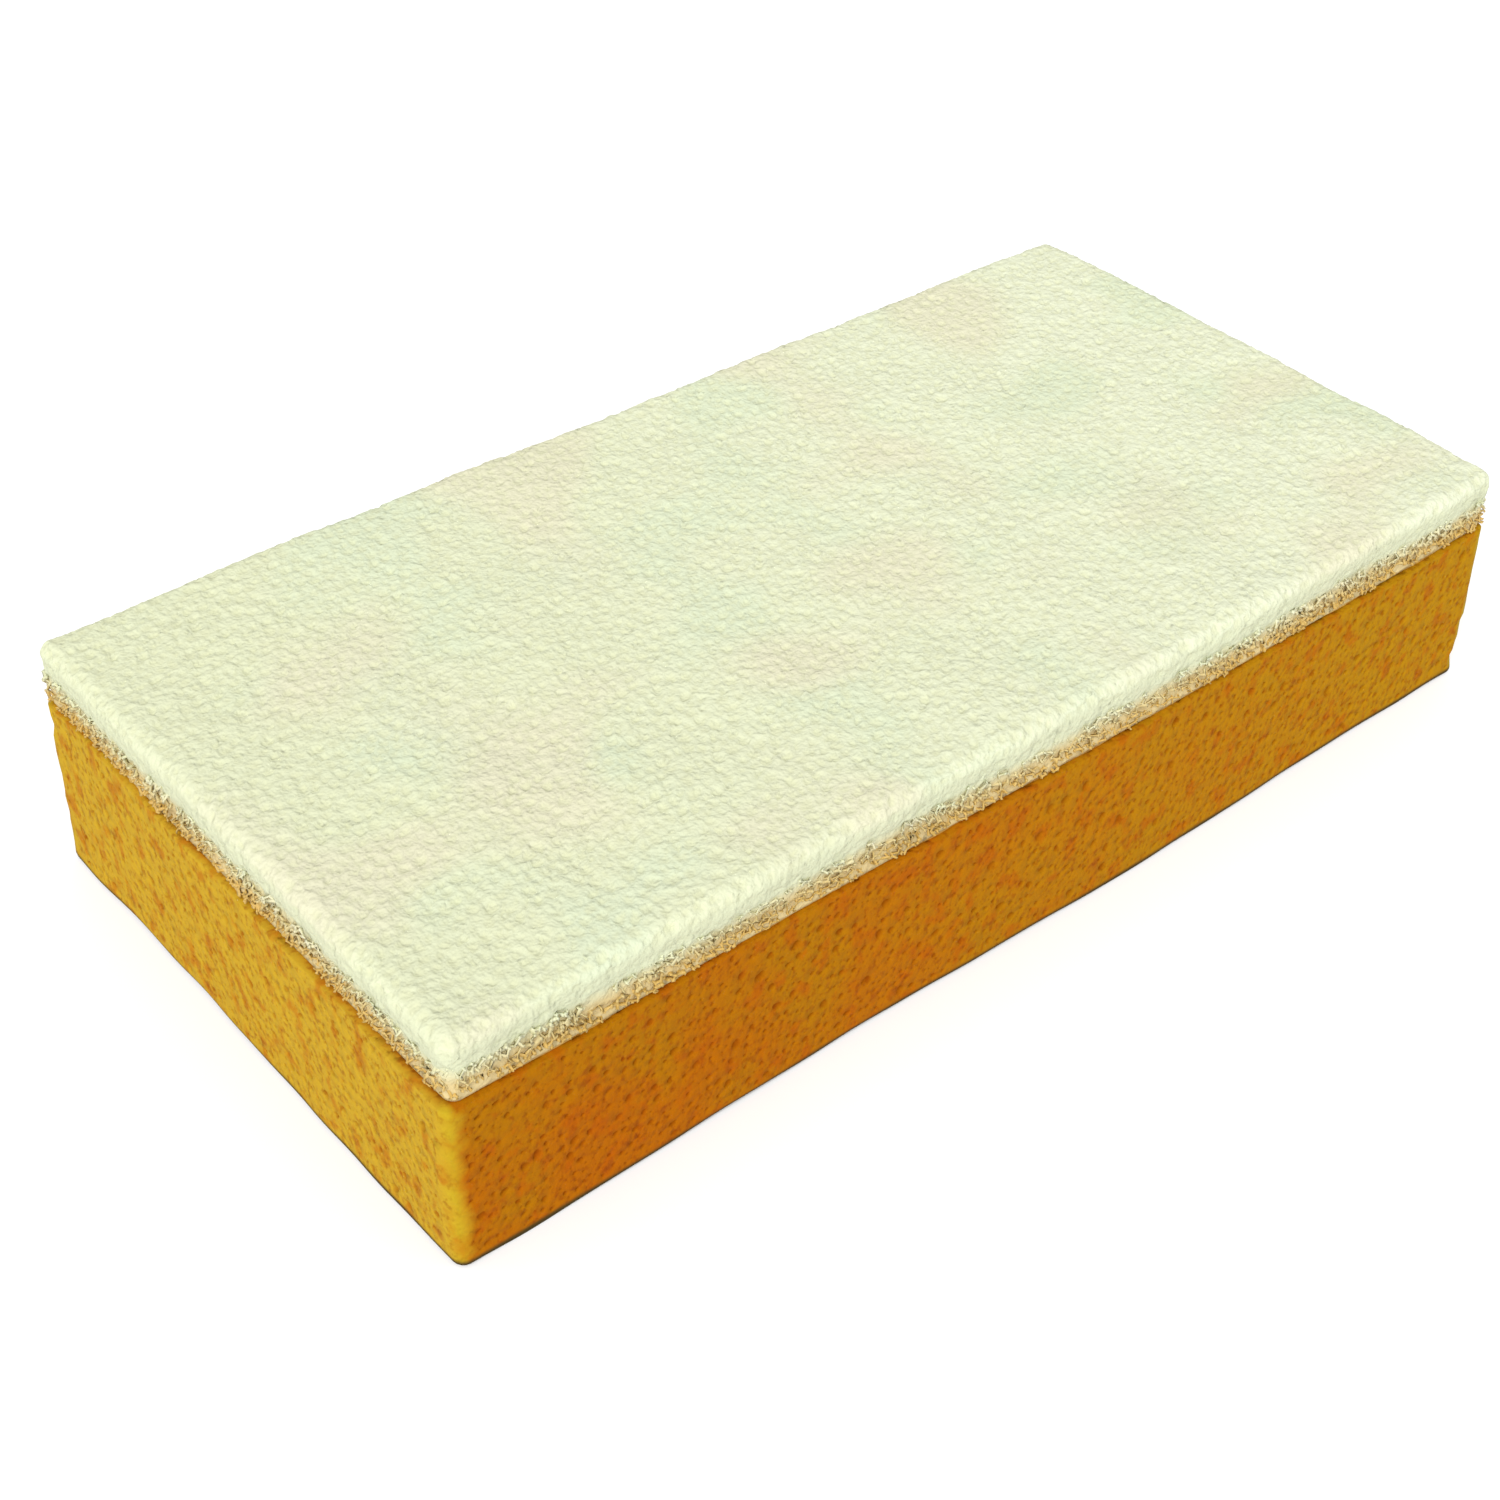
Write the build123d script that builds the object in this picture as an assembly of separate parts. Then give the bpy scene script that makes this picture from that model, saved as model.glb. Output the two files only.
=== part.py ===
from build123d import *
import os

# Two-layer tiler's sponge: an open-cell wash block with a coarse scrub pad laminated on top.
# Millimetres. The origin is at the middle of the wiping face, +X runs along the length and
# +Z points up through the scrub pad.

# --- driving dimensions ---
BLOCK_LENGTH = 280.0        # standard plate length of a European sponge float
BLOCK_WIDTH = 140.0
BLOCK_THICKNESS = 40.0      # wash sponge alone
BLOCK_UPRIGHT_RADIUS = 4.0  # four upright corners of the block
BLOCK_FOOT_RADIUS = 1.5     # edge round the wiping face

FILM_THICKNESS = 0.4        # hot-melt film that bonds the two layers
FILM_MARGIN = 1.5           # the film stops this far inside the block's sides

PAD_THICKNESS = 14.6
PAD_SETBACK = 0.0           # the pad is trimmed flush with the block's sides
PAD_UPRIGHT_RADIUS = 5.0
PAD_SHOULDER_RADIUS = 4.0   # worn-over edge round the scrubbing face

# --- places that follow from them ---
FILM_BOTTOM = BLOCK_THICKNESS
PAD_BOTTOM = FILM_BOTTOM + FILM_THICKNESS
PAD_LENGTH = BLOCK_LENGTH - 2 * PAD_SETBACK
PAD_WIDTH = BLOCK_WIDTH - 2 * PAD_SETBACK
FILM_LENGTH = min(BLOCK_LENGTH, PAD_LENGTH) - 2 * FILM_MARGIN
FILM_WIDTH = min(BLOCK_WIDTH, PAD_WIDTH) - 2 * FILM_MARGIN
FILM_CORNER_RADIUS = max(BLOCK_UPRIGHT_RADIUS, PAD_UPRIGHT_RADIUS) - FILM_MARGIN


def rounded_slab(length, width, thickness, corner_radius, bottom_z):
    """Flat slab with rounded upright corners, standing on the plane z = bottom_z."""
    outline = RectangleRounded(length, width, corner_radius)
    return extrude(Plane.XY.offset(bottom_z) * outline, amount=thickness)


def sponge_block():
    """Open-cell wash sponge, with its lower edge eased all round."""
    slab = rounded_slab(BLOCK_LENGTH, BLOCK_WIDTH, BLOCK_THICKNESS, BLOCK_UPRIGHT_RADIUS, 0.0)
    lower_edges = slab.edges().group_by(Axis.Z)[0]
    return fillet(lower_edges, BLOCK_FOOT_RADIUS)


def adhesive_film():
    """Thin hot-melt film between the block and the pad, hidden short of their sides."""
    return rounded_slab(FILM_LENGTH, FILM_WIDTH, FILM_THICKNESS, FILM_CORNER_RADIUS, FILM_BOTTOM)


def scrub_pad():
    """Coarse open-mesh scouring layer, its upper edge rounded over all round."""
    slab = rounded_slab(PAD_LENGTH, PAD_WIDTH, PAD_THICKNESS, PAD_UPRIGHT_RADIUS, PAD_BOTTOM)
    upper_edges = slab.edges().group_by(Axis.Z)[-1]
    return fillet(upper_edges, PAD_SHOULDER_RADIUS)


NODES = {
    "sponge_block": sponge_block,
    "adhesive_film": adhesive_film,
    "scrub_pad": scrub_pad,
}

os.makedirs("parts", exist_ok=True)
for node, make in NODES.items():
    export_step(make(), f"parts/{node}.step")
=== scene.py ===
import math
from collections import namedtuple

import bpy
import numpy as np
from mathutils import Euler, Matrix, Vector
from mathutils.geometry import delaunay_2d_cdt
from mathutils.kdtree import KDTree


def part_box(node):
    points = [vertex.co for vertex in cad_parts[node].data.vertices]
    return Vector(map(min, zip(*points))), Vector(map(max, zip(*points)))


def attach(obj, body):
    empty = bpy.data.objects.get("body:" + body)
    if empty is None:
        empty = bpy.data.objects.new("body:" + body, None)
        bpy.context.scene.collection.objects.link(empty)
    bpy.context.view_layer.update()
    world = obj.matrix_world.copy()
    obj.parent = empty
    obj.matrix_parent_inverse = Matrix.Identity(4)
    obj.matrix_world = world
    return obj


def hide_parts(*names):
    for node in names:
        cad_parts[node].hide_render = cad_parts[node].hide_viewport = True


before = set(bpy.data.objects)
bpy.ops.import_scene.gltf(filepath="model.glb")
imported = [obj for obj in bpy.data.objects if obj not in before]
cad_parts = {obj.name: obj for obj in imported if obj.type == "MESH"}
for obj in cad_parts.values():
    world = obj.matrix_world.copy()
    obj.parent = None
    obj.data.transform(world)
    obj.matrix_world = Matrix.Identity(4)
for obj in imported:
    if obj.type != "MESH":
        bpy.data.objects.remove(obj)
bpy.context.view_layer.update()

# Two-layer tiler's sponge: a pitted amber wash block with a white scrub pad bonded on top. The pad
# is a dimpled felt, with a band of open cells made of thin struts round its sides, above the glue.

MM = 0.001  # the shapes below are worked out in millimetres

# ------------ sizes, millimetres
UPRIGHT_RADIUS = 2.4  # upright corners of the wash block
FOOT_RADIUS = 1.5  # eased edge round the wiping face
SOLE_DEPTH = 4.0  # how far the wiping face's own piece reaches into the block
CORNER_HIGHLIGHT_REACH = 2.8  # how far the painted highlight reaches from an upright corner
RIM_PITS = 9.0  # width of the pitted band on the block's top, round its rim
FINE_GRID = 3.0  # spacing of the points between pits
COARSE_GRID = 9.0  # and on the flat faces that lie hidden inside

FILM_CORNER_RADIUS = 3.5
FILM_GRID = 4.0

PAD_CORNER_RADIUS = 3.5
PAD_SHOULDER_RADIUS = 3.2
PAD_LIFT = 0.6  # the pad starts this far above the film's underside
PAD_TUCK = 0.3  # the struts' outer faces draw in by this much down to the glue

CELL_PITCH = 2.6  # cubic pitch of the struts' foam, two cells in each cube
CELL_TILT = (30, 64, 49)  # turns the network, in degrees, so that no rows show
CELL_JITTER = 0.22
CELL_WARP = ((10.0, 0.3), (22.0, 0.6), (60.0, 1.2))  # wavelengths and strengths
STRUT_RADIUS = 0.35  # reach of a joint between struts
STRUT_SPREAD = (0.8, 1.2)  # how that reach varies from joint to joint, as shares of it
JOINT_CLEARANCE = 0.05  # the outermost joints stay this far inside
SHORTEST_STUB = 0.05  # of a strut that is cut off at the pad's faces, as a share of it
LONGEST_STUB = 0.35
LOOSE_STUB = (0.3, 0.6)  # of a strut whose next joint was left out
MESH_FRINGE = 0.1  # joints lie up to about this far outside the pad's nominal sides
MESH_DROP = 6.4  # the struts stay this far under the pad's top
MESH_SHOULDER = 1.0
FELT_LAP = 1.0  # the struts run this far into the felt
HIDDEN_DEPTH = 5.0  # no struts are made this far under the felt
PIECES_ALONG = 3  # the network is made in this many pieces along X

FELT_INSET = 0.2  # the felt's nominal sides lie this far inside the pad's
FELT_DROP = 0.1  # and its top this far under the pad's
FELT_UNDERCUT = 0.95  # how far its sides are drawn in at the glue line
FELT_STEP = 0.76  # size of its squares
FELT_PITCH = 2.6  # spacing of its dimples
FELT_DENT = 0.63  # depth of the deepest on the top
SHALLOWEST_DENT = 0.35  # the shallowest, as a share of it
SIDE_DENT = 0.25  # the sides' dimples are deeper by this share
CELL_WALL = (0.1, 1.2)  # how the dimples' walls round off, as a difference of two distances

# Soft foam is never quite square: each lump is a middle, a reach and a shift, in millimetres.
LUMPS = (
    ((30, -70, 0), 90, (0.0, -1.3, 0.0)),
    ((-60, 70, 55), 70, (0.0, 0.5, 0.2)),
    ((142, -70, 50), 30, (-1.0, 0.4, 0.0)),
)


def box_mm(node):
    """A CAD node's lowest and highest corners in millimetres."""
    low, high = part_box(node)
    return np.array(low) / MM, np.array(high) / MM


# ------------ small numeric helpers
def wave_noise(points, wavelength, seed, waves=12):
    """Smooth random field of unit strength: plane waves of random direction and phase, added up."""
    rng = np.random.default_rng(seed)
    direction = rng.normal(size=(waves, points.shape[1]))
    direction /= np.linalg.norm(direction, axis=1)[:, None]
    lengths = wavelength * rng.uniform(0.7, 1.5, waves)
    phase = rng.uniform(0, 2 * np.pi, waves)
    waves_there = np.sin(points @ (direction * (2 * np.pi / lengths)[:, None]).T + phase)
    return waves_there.sum(1) * math.sqrt(2 / waves)


def smoothstep(low, high, value):
    """0 at low, 1 at high, and an S-shaped curve between them."""
    share = np.clip((value - low) / (high - low), 0, 1)
    return share * share * (3 - 2 * share)


def unit(vectors):
    return vectors / np.maximum(np.linalg.norm(vectors, axis=-1, keepdims=True), 1e-9)


def outline_distance(xy, half_x, half_y, radius):
    """Signed distance to a rounded rectangle round the origin, negative inside."""
    over = np.abs(xy) - (half_x - radius, half_y - radius)
    return np.linalg.norm(np.maximum(over, 0), axis=1) + np.minimum(over.max(1), 0) - radius


def slab_distance(points, half_x, half_y, bottom, top, corner, shoulder):
    """Signed distance to an upright slab with rounded corners and a rounded upper edge."""
    beside = outline_distance(points[:, :2], half_x, half_y, corner) + shoulder
    above = points[:, 2] - (top - shoulder)
    over = np.stack([beside, above], 1)
    rounded = np.minimum(over.max(1), 0) + np.linalg.norm(np.maximum(over, 0), axis=1) - shoulder
    return np.maximum(rounded, bottom - points[:, 2])


def settle(points):
    """Moves points with the lumps and hollows of the soft block they belong to."""
    moved = np.array(points, float)
    for middle, reach, shift in LUMPS:
        gap = ((points - middle) ** 2).sum(1) / reach**2
        moved += np.exp(-2 * gap)[:, None] * shift
    moved[:, 2] = np.maximum(moved[:, 2], 0)
    return moved


def add_object(name, data):
    thing = bpy.data.objects.new(name, data)
    bpy.context.scene.collection.objects.link(thing)
    return thing


def make_object(name, points, faces, uv, attributes=None):
    """A mesh object from points in millimetres and a list of (n, k) arrays of faces."""
    points = settle(points)
    blocks = [np.asarray(b, np.int32) for b in faces if len(b)]
    corners = np.concatenate([b.ravel() for b in blocks])
    totals = np.concatenate([np.full(len(b), b.shape[1], np.int32) for b in blocks])
    starts = np.concatenate([[0], np.cumsum(totals)[:-1]]).astype(np.int32)
    mesh = bpy.data.meshes.new(name)
    mesh.vertices.add(len(points))
    mesh.vertices.foreach_set("co", (np.asarray(points) * MM).astype(np.float32).ravel())
    mesh.loops.add(len(corners))
    mesh.loops.foreach_set("vertex_index", corners)
    mesh.polygons.add(len(totals))
    mesh.polygons.foreach_set("loop_start", starts)
    mesh.polygons.foreach_set("loop_total", totals)
    mesh.update(calc_edges=True)
    layer = mesh.uv_layers.new(name="OFBake")
    layer.uv.foreach_set("vector", np.asarray(uv, np.float32).ravel())
    for key, values in (attributes or {}).items():
        field = mesh.attributes.new(key, "FLOAT", "POINT")
        field.data.foreach_set("value", np.asarray(values, np.float32))
    mesh.validate()
    return add_object(name, mesh)


# ------------ open-cell network
def kelvin_cube():
    """The 12 joints of one cube of Kelvin foam, in quarter cubes, and each joint's 4 neighbours."""
    joints = [(0, 1, 2), (0, 3, 2), (0, 2, 1), (0, 2, 3), (1, 0, 2), (3, 0, 2),
              (2, 0, 1), (2, 0, 3), (1, 2, 0), (3, 2, 0), (2, 1, 0), (2, 3, 0)]
    index = {j: n for n, j in enumerate(joints)}
    steps = [(a, b, 0) for a in (1, -1) for b in (1, -1)]
    steps += [(a, 0, b) for a in (1, -1) for b in (1, -1)]
    steps += [(0, a, b) for a in (1, -1) for b in (1, -1)]
    links = []
    for j in joints:
        found = []
        for s in steps:
            to = tuple(j[i] + s[i] for i in range(3))
            wrapped = tuple(v % 4 for v in to)
            if wrapped in index:
                cube = tuple((to[i] - wrapped[i]) // 4 for i in range(3))
                found.append((*cube, index[wrapped]))
        links.append(found)
    return np.array(joints), np.array(links)


def foam_network(low, high, pitch, tilt, jitter, warp, seed):
    """A disordered Kelvin foam that fills a box: its joints and their 4 neighbours, -1 where cut."""
    joints, links = kelvin_cube()
    turn = np.array(Euler([math.radians(a) for a in tilt]).to_matrix())
    middle, half = (low + high) / 2, (high - low) / 2 + 2 * pitch
    reach = np.ceil(np.abs(turn.T) @ half / pitch).astype(int) + 1
    grid = [np.arange(-r, r + 1) for r in reach]
    cubes = np.stack(np.meshgrid(*grid, indexing="ij"), -1).reshape(-1, 3)
    near = (np.abs((cubes + 0.5) * pitch @ turn.T) < half + pitch).all(1)
    cubes = cubes[near]
    size = 2 * reach + 3

    def number(cube, joint):
        at = cube + reach + 1
        return ((at[..., 0] * size[1] + at[..., 1]) * size[2] + at[..., 2]) * 12 + joint

    cube = np.repeat(cubes, 12, axis=0)
    kind = np.tile(np.arange(12), len(cubes))
    mine = number(cube, kind)
    order = np.argsort(mine)
    mine, cube, kind = mine[order], cube[order], kind[order]
    theirs = number(cube[:, None] + links[kind][:, :, :3], links[kind][:, :, 3])
    found = np.searchsorted(mine, theirs).clip(0, len(mine) - 1)
    neighbours = np.where(mine[found] == theirs, found, -1)
    points = (cube + joints[kind] / 4) * pitch @ turn.T + middle
    rng = np.random.default_rng(seed)
    points += rng.normal(0, jitter, points.shape)
    for length, strength in warp:
        shift = [wave_noise(points, length, seed + 10 + axis) for axis in range(3)]
        points += strength * np.stack(shift, 1)
    return points, neighbours


def back_slots(neighbours):
    """For each joint and slot, the slot in which the neighbour holds this joint."""
    back = np.zeros_like(neighbours)
    for slot in range(4):
        there = neighbours[neighbours[:, slot]]
        back[:, slot] = (there == np.arange(len(neighbours))[:, None]).argmax(1)
    return back


def held_joints(neighbours, distance):
    """Which joints are drawn: those inside distance < 0 that hold on to at least two others."""
    whole = (neighbours >= 0).all(1)
    inside = whole & (distance < -JOINT_CLEARANCE)
    for _ in range(5):  # a joint that hangs by one strut goes, so that nothing floats
        held = (inside[neighbours] & (neighbours >= 0)).sum(1)
        inside &= held >= 2
    return inside


def joint_shapes(points, neighbours, width):
    """Each joint's four corners, and for each neighbour the three that face it."""
    reach = unit(points[neighbours] - points[:, None])
    corners = unit(reach - reach.mean(1, keepdims=True))
    corners = points[:, None] - corners * width[:, None, None]
    # the face of a joint's tetrahedron towards neighbour k is made of its other three corners
    others = np.array([(1, 2, 3), (0, 2, 3), (0, 1, 3), (0, 1, 2)])
    face = np.repeat(others[None], len(points), 0)
    a, b, c = (np.take_along_axis(corners, face[:, :, i, None], 1) for i in range(3))
    wrong = (np.cross(b - a, c - a) * reach).sum(-1) < 0
    face[wrong] = face[wrong][:, ::-1]
    return corners, face


def matched(far, far_at, near_at, apart):
    """The far faces' corner numbers, turned so that each lies opposite its near one."""
    turns = [np.roll(far_at, -s, axis=1) for s in range(3)]
    cost = np.stack([((t - near_at - apart) ** 2).sum((1, 2)) for t in turns], 1)
    best = cost.argmin(1)
    return far[np.arange(len(far))[:, None], (np.arange(3) + best[:, None]) % 3]


def strut_pieces(points, neighbours, distance, piece_of, seed):
    """Meshes of the struts inside distance < 0, one per piece, joined at tetrahedra."""
    rng = np.random.default_rng(seed)
    inside = held_joints(neighbours, distance)
    width = STRUT_RADIUS * rng.uniform(*STRUT_SPREAD, len(points))
    width = width * (1 + 0.15 * wave_noise(points, 30, seed + 1))
    corners, face = joint_shapes(points, neighbours, width)
    home, slot = np.nonzero(inside[:, None] & (neighbours >= 0))
    away = neighbours[home, slot]
    joined = inside[away]
    same = joined & (piece_of[home] == piece_of[away])
    drawn = ~same | (home < away)
    home, slot, away, joined, same = (v[drawn] for v in (home, slot, away, joined, same))
    near = face[home, slot]
    near_at = corners[home[:, None], near]
    apart = (points[away] - points[home])[:, None]
    far = face[away, back_slots(neighbours)[home, slot]][:, ::-1]
    far = matched(far, corners[away[:, None], far], near_at, apart)
    far_at = corners[away[:, None], far]
    # a strut that leaves the envelope ends on it, and one between two pieces is parted half way
    cut = distance[home] / np.minimum(distance[home] - distance[away], -1e-6)
    stub = rng.uniform(*LOOSE_STUB, len(home))
    share = np.where(distance[away] > 0, cut.clip(SHORTEST_STUB, LONGEST_STUB), stub)
    half_way = (near_at + far_at) / 2
    end_at = np.where(joined[:, None, None], half_way, near_at + apart * share[:, None, None])
    made = []
    for number in range(piece_of.max() + 1):
        own = np.nonzero(inside & (piece_of == number))[0]
        place = np.full(len(points), -1)
        place[own] = np.arange(len(own)) * 4
        mine = piece_of[home] == number
        full, part = mine & same, mine & ~same
        stub_end = len(own) * 4 + np.arange(3 * part.sum()).reshape(-1, 3)
        start = np.concatenate([place[home[k]][:, None] + near[k] for k in (full, part)])
        finish = np.concatenate([place[away[full]][:, None] + far[full], stub_end])
        quads = np.concatenate([
            np.stack([start[:, i], start[:, (i + 1) % 3], finish[:, (i + 1) % 3], finish[:, i]], 1)
            for i in range(3)
        ])
        verts = np.concatenate([corners[own].reshape(-1, 3), end_at[part].reshape(-1, 3)])
        made.append((verts, [quads, stub_end]))
    return made


def slice_uv(points, faces, low, high, slices=6, columns=3, skew=0.3):
    """Lays each face out seen from above, in one tile for each horizontal slice of the network."""
    tiles = []
    rows = math.ceil(slices / columns)
    span = high - low
    for block in faces:
        at = points[block]
        level = ((at[:, :, 2].mean(1) - low[2]) / span[2] * slices).astype(int).clip(0, slices - 1)
        inside = at[:, :, 2] - (low[2] + (level[:, None] + 0.5) * span[2] / slices)
        x = (at[:, :, 0] + skew * inside - low[0]) / span[0]
        y = (at[:, :, 1] + skew * inside - low[1]) / span[1]
        x = (0.02 + 0.96 * x.clip(0, 1) + (level % columns)[:, None]) / columns
        y = (0.02 + 0.96 * y.clip(0, 1) + (level // columns)[:, None]) / rows
        tiles.append(np.stack([x, y], -1).reshape(-1, 2))
    return np.concatenate(tiles)


# ------------ pitted slabs
# how many pits go on a face, how large and deep they are, and how far they stretch and lean upwards
Pits = namedtuple("Pits", "per_cm2 radius spread largest depth stretch lean", defaults=(1.0, 0.0))
Cup = namedtuple("Cup", "x y radius ring first")  # first is the number of its rim's first point

SMALLEST_PIT = 0.22
PIT_REACH = 1.28  # the uneven rim of a pit stays within this many radii of its middle
PIT_ROOM = 1.3  # radii that a pit keeps free of the border and of the points between pits
PIT_GAP = 0.2  # least gap between two rims
BORDER_GAP = 0.35
FILL_GAP = 0.25
FULL_CUP = 0.42  # pits of at least this radius have a rounded floor, smaller ones a point
PIT_TRIES = 3  # rounds of placing pits, each from the largest to the smallest
FILL_BATCH = 1000  # points compared with all pits at a time


def scatter(pits, width, height, allowed, rng):
    """Centres and radii of pits that keep clear of each other on a width by height face."""
    wanted = int(pits.per_cm2 * width * height / 100)
    count = PIT_TRIES * wanted
    radii = pits.radius * np.exp(rng.normal(0, pits.spread, count))
    radii = np.concatenate([np.sort(r)[::-1] for r in np.array_split(radii, PIT_TRIES)])
    radii = radii.clip(SMALLEST_PIT, pits.largest)
    x, y = rng.uniform(0, width, count), rng.uniform(0, height, count)
    good = allowed(np.stack([x, y], 1), radii * pits.stretch * PIT_ROOM + BORDER_GAP)
    level = x + y * 0.5 * math.tan(pits.lean)   # undoes the common lean of the pits
    cell = 2 * PIT_ROOM * pits.largest + PIT_GAP
    kept, buckets = [], {}
    for i in np.nonzero(good)[0]:
        home = (int(level[i] // cell), int(y[i] // (cell * pits.stretch)))
        near = (j for dx in (-1, 0, 1) for dy in (-1, 0, 1)
                for j in buckets.get((home[0] + dx, home[1] + dy), ()))
        if all(math.hypot(level[i] - level[j], (y[i] - y[j]) / pits.stretch)
               > PIT_REACH * (radii[i] + radii[j]) + PIT_GAP for j in near):
            kept.append(i)
            buckets.setdefault(home, []).append(i)
        if len(kept) >= wanted:
            break
    return x[kept], y[kept], radii[kept]


def pit_ring(pits, x, y, radius, rng):
    """The uneven rim of one pit."""
    count = int(np.clip(round(11 * math.sqrt(radius)), 6, 12))
    angle = np.arange(count) * 2 * np.pi / count + rng.uniform(0, 2 * np.pi)
    start = rng.uniform(0, 2 * np.pi, 2)
    wobble = 0.12 * np.sin(2 * angle + start[0]) + 0.09 * np.sin(3 * angle + start[1])
    reach = radius * (1 + wobble + rng.uniform(-0.04, 0.04, count))
    stretch = pits.stretch * rng.uniform(0.65, 1.0)
    lean = pits.lean + rng.uniform(-0.2, 0.2)
    across, along = reach * np.cos(angle), reach * np.sin(angle) * stretch
    return np.stack([x + across - along * math.tan(lean) * 0.5, y + along], 1)


def pit_cup(pits, x, y, radius, ring, first, here, rng):
    """Points, faces and pit shares of the cup under one rim."""
    count = len(ring)
    deep = pits.depth * radius * rng.uniform(0.7, 1.3)
    centre = np.array([x, y]) + rng.uniform(-0.15, 0.15, 2) * radius
    i = np.arange(count)
    n = (i + 1) % count
    if radius < FULL_CUP:
        faces = [np.stack([first + i, first + n, np.full(count, here)], 1)]
        return np.array([[*centre, deep]]), faces, [0.9]
    inner = centre + (ring - (x, y)) * 0.72
    faces = [np.stack([first + i, first + n, here + n], 1),
             np.stack([first + i, here + n, here + i], 1),
             np.stack([here + i, here + n, np.full(count, here + count)], 1)]
    points = np.vstack([np.column_stack([inner, np.full(count, 0.62 * deep)]), [*centre, deep]])
    return points, faces, [0.75] * count + [1.0]


def clear_of_cups(fill, cups, stretch):
    """Which of the points between the pits keep off their rims."""
    centres = np.array([(cup.x, cup.y / stretch) for cup in cups])
    reach = np.array([cup.radius for cup in cups])
    scaled = fill / (1, stretch)
    clear = np.ones(len(fill), bool)
    for part in range(0, len(fill), FILL_BATCH):
        gap = np.linalg.norm(scaled[part:part + FILL_BATCH, None] - centres[None], axis=2)
        clear[part:part + FILL_BATCH] = (gap > reach * PIT_ROOM + FILL_GAP).all(1)
    return clear


def over_cups(flat, tris, ring_of, cups):
    """Which triangles span the mouth of a pit."""
    rings = ring_of[tris]
    spans = (rings[:, 0] >= 0) & (rings == rings[:, :1]).all(1)
    middle = flat[tris].mean(1)
    for n in np.nonzero(spans)[0]:  # a hollow between two corners of a rim lies outside it
        spans[n] = inside_ring(middle[n], cups[rings[n, 0]].ring)
    return spans


def pitted_face(pits, width, height, border, allowed, step, rng, allowed_pit=None):
    """Triangles of a flat face with pits. Returns points as x, y and depth, faces, and pit share."""
    flat = [np.array(border, float)]
    count = len(border)
    loop = [(i, (i + 1) % count) for i in range(count)]
    cups = []
    if pits is not None:
        for x, y, radius in zip(*scatter(pits, width, height, allowed_pit or allowed, rng)):
            ring = pit_ring(pits, x, y, radius, rng)
            cups.append(Cup(x, y, radius, ring, count))
            loop += [(count + i, count + (i + 1) % len(ring)) for i in range(len(ring))]
            flat.append(ring)
            count += len(ring)
    ring_of = np.full(count, -1)
    for n, cup in enumerate(cups):
        ring_of[cup.first:cup.first + len(cup.ring)] = n
    xs, ys = np.arange(step, width, step), np.arange(step, height, step)
    fill = np.stack(np.meshgrid(xs, ys), -1).reshape(-1, 2)
    fill = fill + rng.uniform(-0.25, 0.25, fill.shape) * step
    fill = fill[allowed(fill, np.full(len(fill), 0.5 * step))]
    if cups:
        fill = fill[clear_of_cups(fill, cups, pits.stretch)]
    flat = np.concatenate([*flat, fill])
    ring_of = np.concatenate([ring_of, np.full(len(fill), -1)])
    verts, _, tris, origin, _, _ = delaunay_2d_cdt([Vector(p) for p in flat], loop, [], 1, 1e-6)
    assert len(verts) == len(flat), "two pits or a pit and the border cross"
    tris = np.array([o[0] for o in origin])[np.array(tris)]
    points = [np.column_stack([flat, np.zeros(len(flat))])]
    faces = [tris[~over_cups(flat, tris, ring_of, cups)]]
    share = [0.0] * len(flat)
    here = len(flat)
    for x, y, radius, ring, first in cups:
        cup_points, cup_faces, cup_share = pit_cup(pits, x, y, radius, ring, first, here, rng)
        points.append(cup_points)
        faces += cup_faces
        share += cup_share
        here += len(cup_points)
    return np.concatenate(points), np.concatenate(faces), np.array(share)


def inside_ring(point, ring):
    """Whether a point lies inside a closed ring, by counting the sides crossed."""
    a, b = ring, np.roll(ring, -1, axis=0)
    spans = (a[:, 1] > point[1]) != (b[:, 1] > point[1])
    rise = np.where(spans, b[:, 1] - a[:, 1], 1)
    cross = a[:, 0] + (point[1] - a[:, 1]) * (b[:, 0] - a[:, 0]) / rise
    return bool((spans & (point[0] < cross)).sum() % 2)


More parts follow.
